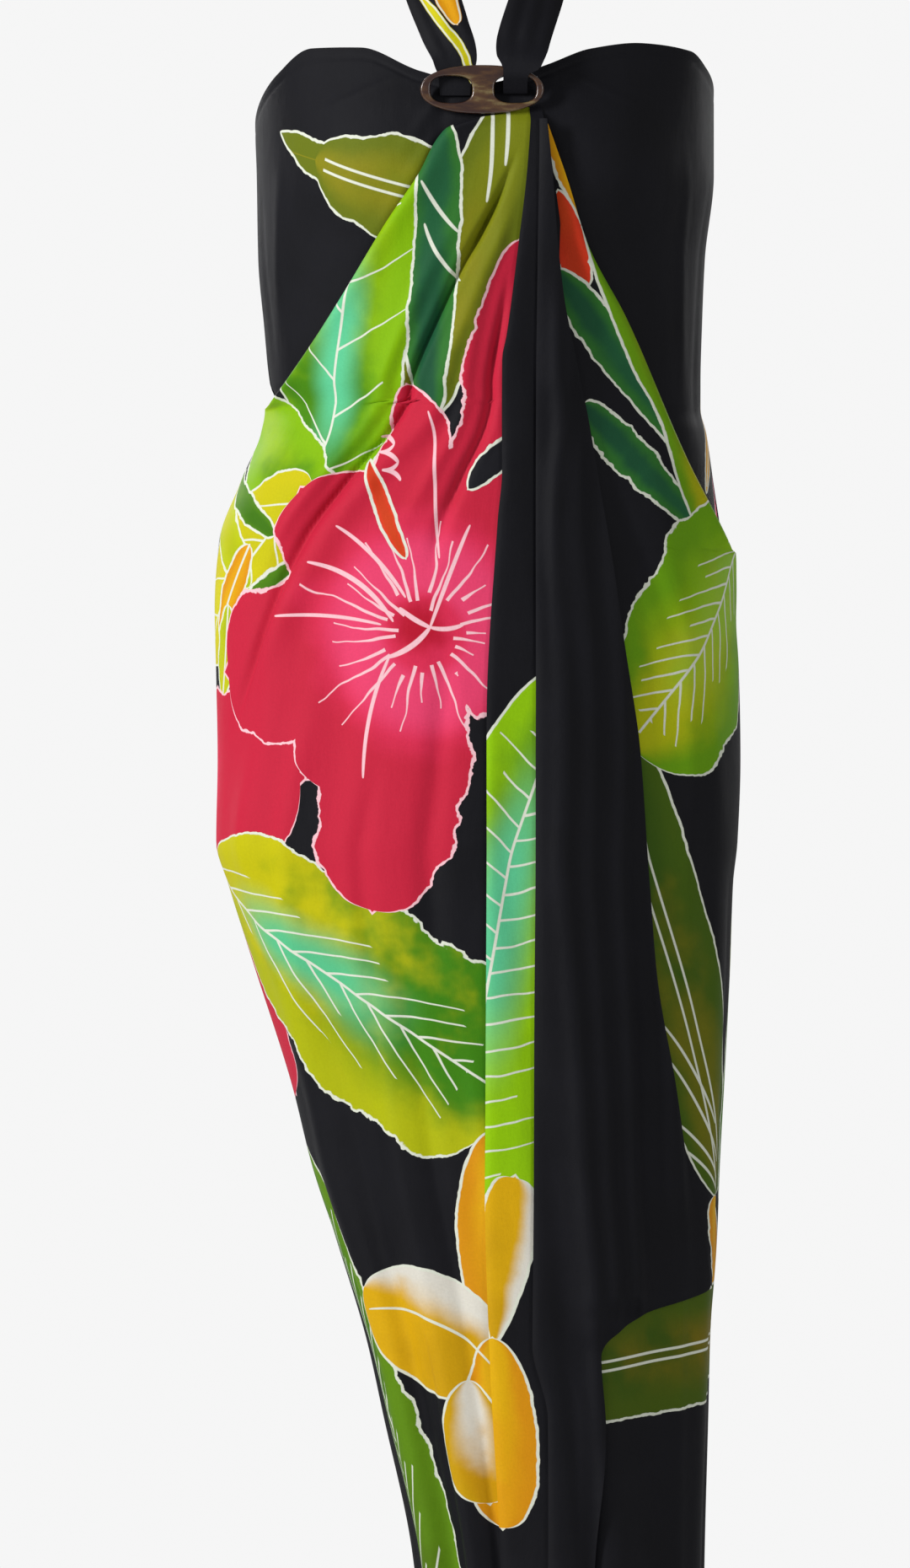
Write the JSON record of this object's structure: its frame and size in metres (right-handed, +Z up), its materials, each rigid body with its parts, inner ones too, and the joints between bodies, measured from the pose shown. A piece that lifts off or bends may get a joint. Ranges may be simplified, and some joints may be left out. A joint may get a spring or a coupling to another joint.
{
  "type": "batik sarong",
  "caption": "Black batik sarong with hibiscus and leaf motifs, wrapped as a long halter dress through a coconut-shell buckle.",
  "frame": {"origin": "the nape of the neck, where the inner side of the knot in the neck ties rests", "axes": "+Z up, -Y the front of the garment, +X to the right as seen from the front"},
  "size_m": [0.3565, 0.2717, 1.3181],
  "materials": {
    "batik_cloth": "matt rayon with a soft sheen",
    "coconut_shell": "polished"
  },
  "bodies": {
    "root": {"wrap_back": "batik_cloth", "bodice_left": "batik_cloth", "bodice_right": "batik_cloth", "drape_left": "batik_cloth", "drape_right": "batik_cloth", "centre_pleat": "batik_cloth", "front_panel": "batik_cloth", "tie_left": "batik_cloth", "tie_right": "batik_cloth", "tail_left": "batik_cloth", "tail_right": "batik_cloth", "nape_knot": "batik_cloth", "shell_buckle": "coconut_shell"}
  },
  "joints": []
}
